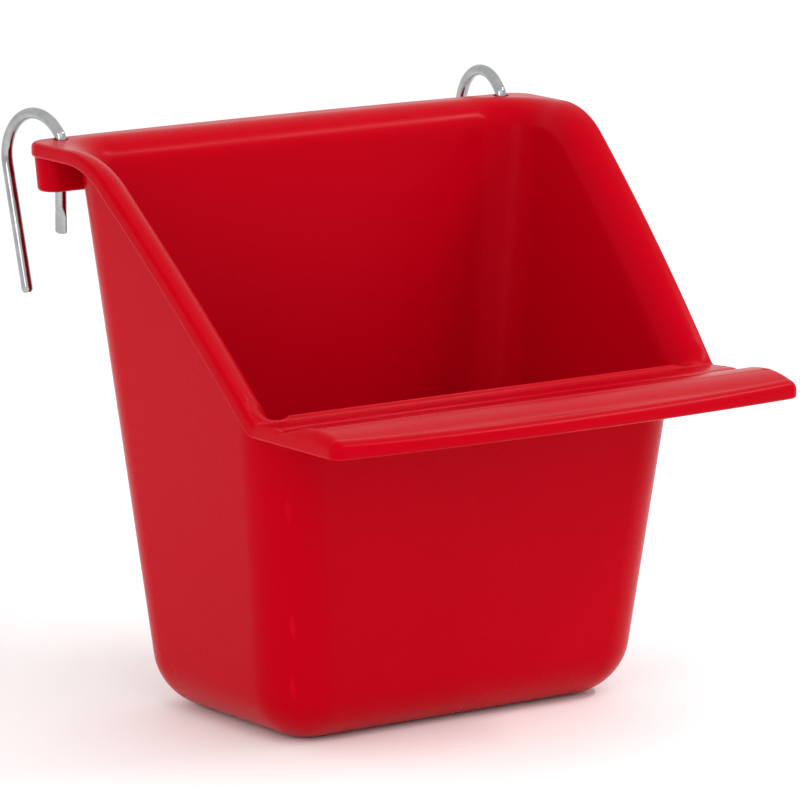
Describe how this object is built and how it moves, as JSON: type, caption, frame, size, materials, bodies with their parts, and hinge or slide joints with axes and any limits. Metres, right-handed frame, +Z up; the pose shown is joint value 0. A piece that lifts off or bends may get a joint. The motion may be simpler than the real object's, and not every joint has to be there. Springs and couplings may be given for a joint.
{
  "type": "hook-on trough feeder",
  "caption": "Moulded plastic feed trough with a sloping rim and front perch, hung from its back rim by wire hooks that swivel in ears.",
  "frame": {"origin": "centre of the flat underside of the trough", "axes": "+Z up, -Y towards the front perch, +Y towards the back rim that hangs on the cage, +X to the right seen from the front"},
  "size_m": [0.128, 0.122, 0.1237],
  "materials": {
    "red_plastic": "smooth injection-moulded polypropylene, semi-gloss",
    "bright_wire": "bright plated steel wire"
  },
  "bodies": {
    "trough": {"trough": "red_plastic"},
    "left_hook": {"left_hook": "bright_wire"},
    "right_hook": {"right_hook": "bright_wire"}
  },
  "joints": [
    {"name": "left_hook_swivel", "type": "hinge", "parent": "trough", "child": "left_hook", "pos_m": [-0.0564, 0.0391, 0.112], "axis": [0, 0, 1], "range_deg": [-60, 125]},
    {"name": "right_hook_swivel", "type": "hinge", "parent": "trough", "child": "right_hook", "pos_m": [0.0564, 0.0391, 0.112], "axis": [0, 0, -1], "range_deg": [-60, 125]}
  ]
}
